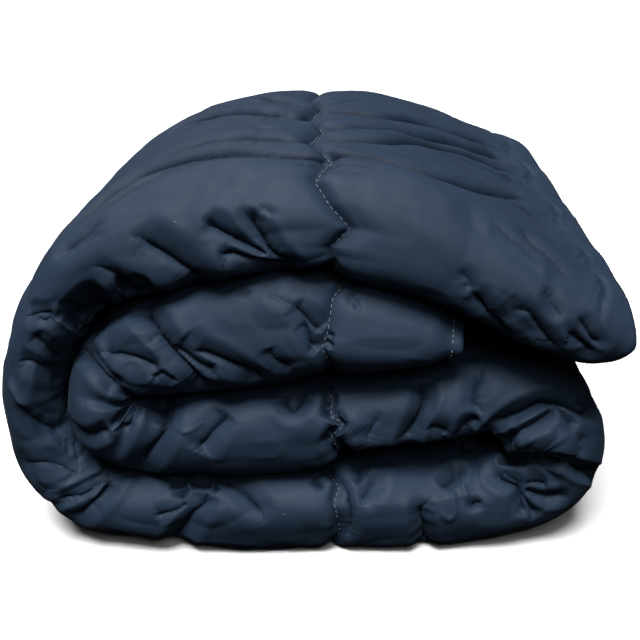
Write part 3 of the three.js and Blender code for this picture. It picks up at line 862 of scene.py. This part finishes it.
def stitches(i, lift, length, gap, radius, ranges):
    """Stitch middles, directions and outward normals along row i, where the place round the strip is in ranges."""
    P, Q = np.concatenate([X[i], X[i][:1]]), np.concatenate([NF[i], NF[i][:1]])
    l = np.append(fine.ring[i], AROUND)
    k = np.concatenate([[0], np.cumsum(np.linalg.norm(np.diff(P, axis=0), axis=1))])
    out = []
    for q in np.arange(0.5 * length, k[-1] - length, length + gap):
        at = np.interp(q, k, l)
        at = at - AROUND if at > HALF else at
        if any(a_ <= at <= b_ for a_, b_ in ranges):
            e = [np.array([np.interp(q + m, k, P[:, c]) for c in range(3)]) for m in (-0.5 * length, 0.5 * length)]
            n = np.array([np.interp(q, k, Q[:, c]) for c in range(3)])
            out.append((e[0], e[1], n / np.linalg.norm(n), lift, radius))
    return out


def sewn(rows_of_stitches, sides=6, rings=5):
    V, F = [], []
    for p0, p1, n, lift, radius in rows_of_stitches:
        d = p1 - p0
        d, size = d / (np.linalg.norm(d) + 1e-9), np.linalg.norm(d)
        n = n - d * np.dot(n, d)
        n = n / (np.linalg.norm(n) + 1e-9)
        b = np.cross(d, n)
        first = len(V)
        for r in range(rings):
            u = r / (rings - 1) * 2 - 1
            c = 0.5 * (p0 + p1) + n * (lift + 0.35 * radius * (1 - u * u)) + d * (0.5 * size * u)
            rad = radius * max(0.35, (1 - u ** 4)) ** 0.5
            for k in range(sides):
                w = 2 * math.pi * k / sides
                V.append(c + rad * (n * math.cos(w) + b * math.sin(w)))
        for r in range(rings - 1):
            for k in range(sides):
                m = (k + 1) % sides
                F.append((first + r * sides + k, first + r * sides + m, first + (r + 1) * sides + m, first + (r + 1) * sides + k))
        F.append(tuple(first + k for k in reversed(range(sides))))
        F.append(tuple(first + (rings - 1) * sides + k for k in range(sides)))
    return np.array(V), F


rim_only = [(-105, 105), (HALF - 80, HALF), (-HALF, -HALF + 80)]
made = []
for n, i in enumerate(line_rows):
    if n in (0, 2, 4, 7):  # on the others the thread lies deep in the folds
        made += stitches(i, 0.1 if n in (2, 4) else 0.35, 4.6, 2.2, 0.34 if n in (2, 4) else 0.40, [(30, 150)] if n == 7 else rim_only)
    if n == 7:  # further back it lies lower
        made += stitches(i, 0.05, 4.6, 2.2, 0.34, [(-105, 30), (150, HALF), (-HALF, -HALF + 80)])
for s_hem in (HEM,):
    made += stitches(int(np.argmin(np.abs(fine.rows - s_hem))), 0.4, 3.6, 2.4, 0.62, [(-HALF, HALF)])
V, F = sewn(made)
thread = make("thread_stitches", V * MM, F)
print("stitches", len(made), "triangles", sum(len(f.vertices) - 2 for f in thread.data.polygons))

# ---- material: smooth navy microfibre -----------------------------------------------
mat = bpy.data.materials.new("navy_microfibre")
mat.use_nodes = True
nt = mat.node_tree
bsdf = nt.nodes["Principled BSDF"]


def node(kind, **inputs):
    n = nt.nodes.new(kind)
    for k, v in inputs.items():
        n.inputs[k].default_value = v
    return n


def link(a, b):
    nt.links.new(a, b)


def ramp(source, stops):
    n = nt.nodes.new("ShaderNodeValToRGB")
    e = n.color_ramp.elements
    while len(e) < len(stops):
        e.new(0.5)
    for el_, (at, col) in zip(e, stops):
        el_.position, el_.color = at, (*col, 1)
    link(source, n.inputs["Fac"])
    return n.outputs["Color"]


where = nt.nodes.new("ShaderNodeTexCoord").outputs["Object"]
broad = node("ShaderNodeTexNoise", Scale=11.0, Detail=3.0, Roughness=0.55)
link(where, broad.inputs["Vector"])
tone = ramp(broad.outputs["Fac"], [(0.3, (0.0115, 0.0225, 0.0420)), (0.7, (0.0145, 0.0275, 0.0500))])
specks = node("ShaderNodeTexVoronoi", Scale=36.0)
link(where, specks.inputs["Vector"])
lint = ramp(specks.outputs["Distance"], [(0.012, (1, 1, 1)), (0.022, (0, 0, 0))])
mixed = nt.nodes.new("ShaderNodeMix")
mixed.data_type = "RGBA"
mixed.inputs["B"].default_value = (0.30, 0.33, 0.37, 1)
link(lint, mixed.inputs["Factor"])
link(tone, mixed.inputs["A"])
deep = nt.nodes.new("ShaderNodeAttribute")  # painted shade: the cloth's colour is darkened along the narrow folds and sewn lines, where little light comes back out
deep.attribute_name = "fold"
shade = ramp(deep.outputs["Fac"], [(0.0, (1, 1, 1)), (0.9, (0.30, 0.36, 0.44))])
shaded = nt.nodes.new("ShaderNodeMix")
shaded.data_type, shaded.blend_type = "RGBA", "MULTIPLY"
shaded.inputs["Factor"].default_value = 1.0
link(mixed.outputs["Result"], shaded.inputs["A"])
link(shade, shaded.inputs["B"])
link(shaded.outputs["Result"], bsdf.inputs["Base Color"])
satin = node("ShaderNodeTexNoise", Scale=60.0, Detail=4.0, Roughness=0.6)
link(where, satin.inputs["Vector"])
gloss = ramp(satin.outputs["Fac"], [(0.3, (0.60, 0.60, 0.60)), (0.7, (0.70, 0.70, 0.70))])
link(gloss, bsdf.inputs["Roughness"])
crumple = node("ShaderNodeTexNoise", Scale=95.0, Detail=3.0, Roughness=0.5)
link(where, crumple.inputs["Vector"])
rough_b = node("ShaderNodeBump", Strength=0.20, Distance=0.0004)
link(crumple.outputs["Fac"], rough_b.inputs["Height"])
weave = node("ShaderNodeTexNoise", Scale=1700.0, Detail=1.0)
link(where, weave.inputs["Vector"])
fine_b = node("ShaderNodeBump", Strength=0.25, Distance=0.0001)
link(weave.outputs["Fac"], fine_b.inputs["Height"])
link(rough_b.outputs["Normal"], fine_b.inputs["Normal"])
link(fine_b.outputs["Normal"], bsdf.inputs["Normal"])
bsdf.inputs["Sheen Weight"].default_value = 0.02
bsdf.inputs["Sheen Roughness"].default_value = 0.4
bsdf.inputs["Sheen Tint"].default_value = (0.60, 0.72, 0.90, 1)
bsdf.inputs["Specular IOR Level"].default_value = 0.18
for o in pieces:
    o.data.materials.append(mat)
    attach(o, "root")
    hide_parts("duvet")

# ---- material: pale blue-grey thread ---------------------------------------------------
mat = bpy.data.materials.new("sewing_thread")
mat.use_nodes = True
nt = mat.node_tree
bsdf = nt.nodes["Principled BSDF"]
where = nt.nodes.new("ShaderNodeTexCoord").outputs["Object"]
twist = node("ShaderNodeTexNoise", Scale=900.0, Detail=2.0)
link(where, twist.inputs["Vector"])
link(ramp(twist.outputs["Fac"], [(0.35, (0.09, 0.115, 0.15)), (0.65, (0.18, 0.21, 0.25))]), bsdf.inputs["Base Color"])
bsdf.inputs["Roughness"].default_value = 0.55
bsdf.inputs["Specular IOR Level"].default_value = 0.3
thread.data.materials.append(mat)
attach(thread, "root")

# ---- stage, light, camera ------------------------------------------------------
bpy.ops.mesh.primitive_plane_add(size=60, location=(0, 0, 0))
floor = bpy.context.object
floor.name = "floor"
fm = bpy.data.materials.new("pale_floor")
fm.use_nodes = True
fm.node_tree.nodes["Principled BSDF"].inputs["Base Color"].default_value = (0.80, 0.80, 0.80, 1)
fm.node_tree.nodes["Principled BSDF"].inputs["Roughness"].default_value = 0.9
fm.node_tree.nodes["Principled BSDF"].inputs["Specular IOR Level"].default_value = 0.1
floor.data.materials.append(fm)
floor.visible_diffuse = floor.visible_glossy = False  # the table doesn't light the cloth from below

world = bpy.data.worlds.new("studio")
bpy.context.scene.world = world
world.use_nodes = True
wt = world.node_tree
glow = wt.nodes["Background"]
glow.inputs["Color"].default_value = (1, 1, 1, 1)
glow.inputs["Strength"].default_value = 0.012
white = wt.nodes.new("ShaderNodeBackground")
white.inputs["Strength"].default_value = 1.0
path = wt.nodes.new("ShaderNodeLightPath")
pick = wt.nodes.new("ShaderNodeMixShader")
wt.links.new(path.outputs["Is Camera Ray"], pick.inputs["Fac"])
wt.links.new(glow.outputs[0], pick.inputs[1])
wt.links.new(white.outputs[0], pick.inputs[2])
wt.links.new(pick.outputs[0], wt.nodes["World Output"].inputs["Surface"])
bpy.context.scene.view_settings.view_transform = "Standard"


def sun(name, toward, strength, angle):
    """A broad soft source, in the direction that it is seen from the object."""
    d = bpy.data.lights.new(name, "SUN")
    d.energy, d.angle = strength, math.radians(angle)
    o = bpy.data.objects.new(name, d)
    o.rotation_euler = Vector(toward).to_track_quat("Z", "Y").to_euler()
    o.location = Vector(toward) * 3
    bpy.context.scene.collection.objects.link(o)


sun("overhead", (-0.10, -0.35, 0.93), 5.8, 28)
sun("behind", (-0.40, 0.48, 0.78), 1.2, 20)
box = bpy.data.lights.new("front", "AREA")
box.shape, box.size, box.energy = "DISK", 0.70, 4.5
box_at = bpy.data.objects.new("front", box)
box_at.location = (0.28, -1.36, 1.22)
box_at.rotation_euler = Vector((0.28, -1.10, 1.00)).to_track_quat("Z", "Y").to_euler()
bpy.context.scene.collection.objects.link(box_at)

cam = bpy.data.cameras.new("camera")
cam.sensor_width = 36
cam.lens = FOCAL / 640 * 36
co = bpy.data.objects.new("camera", cam)
co.location = EYE * MM
co.rotation_euler = (math.pi / 2 - PITCH, 0, 0)
bpy.context.scene.collection.objects.link(co)
bpy.context.scene.camera = co
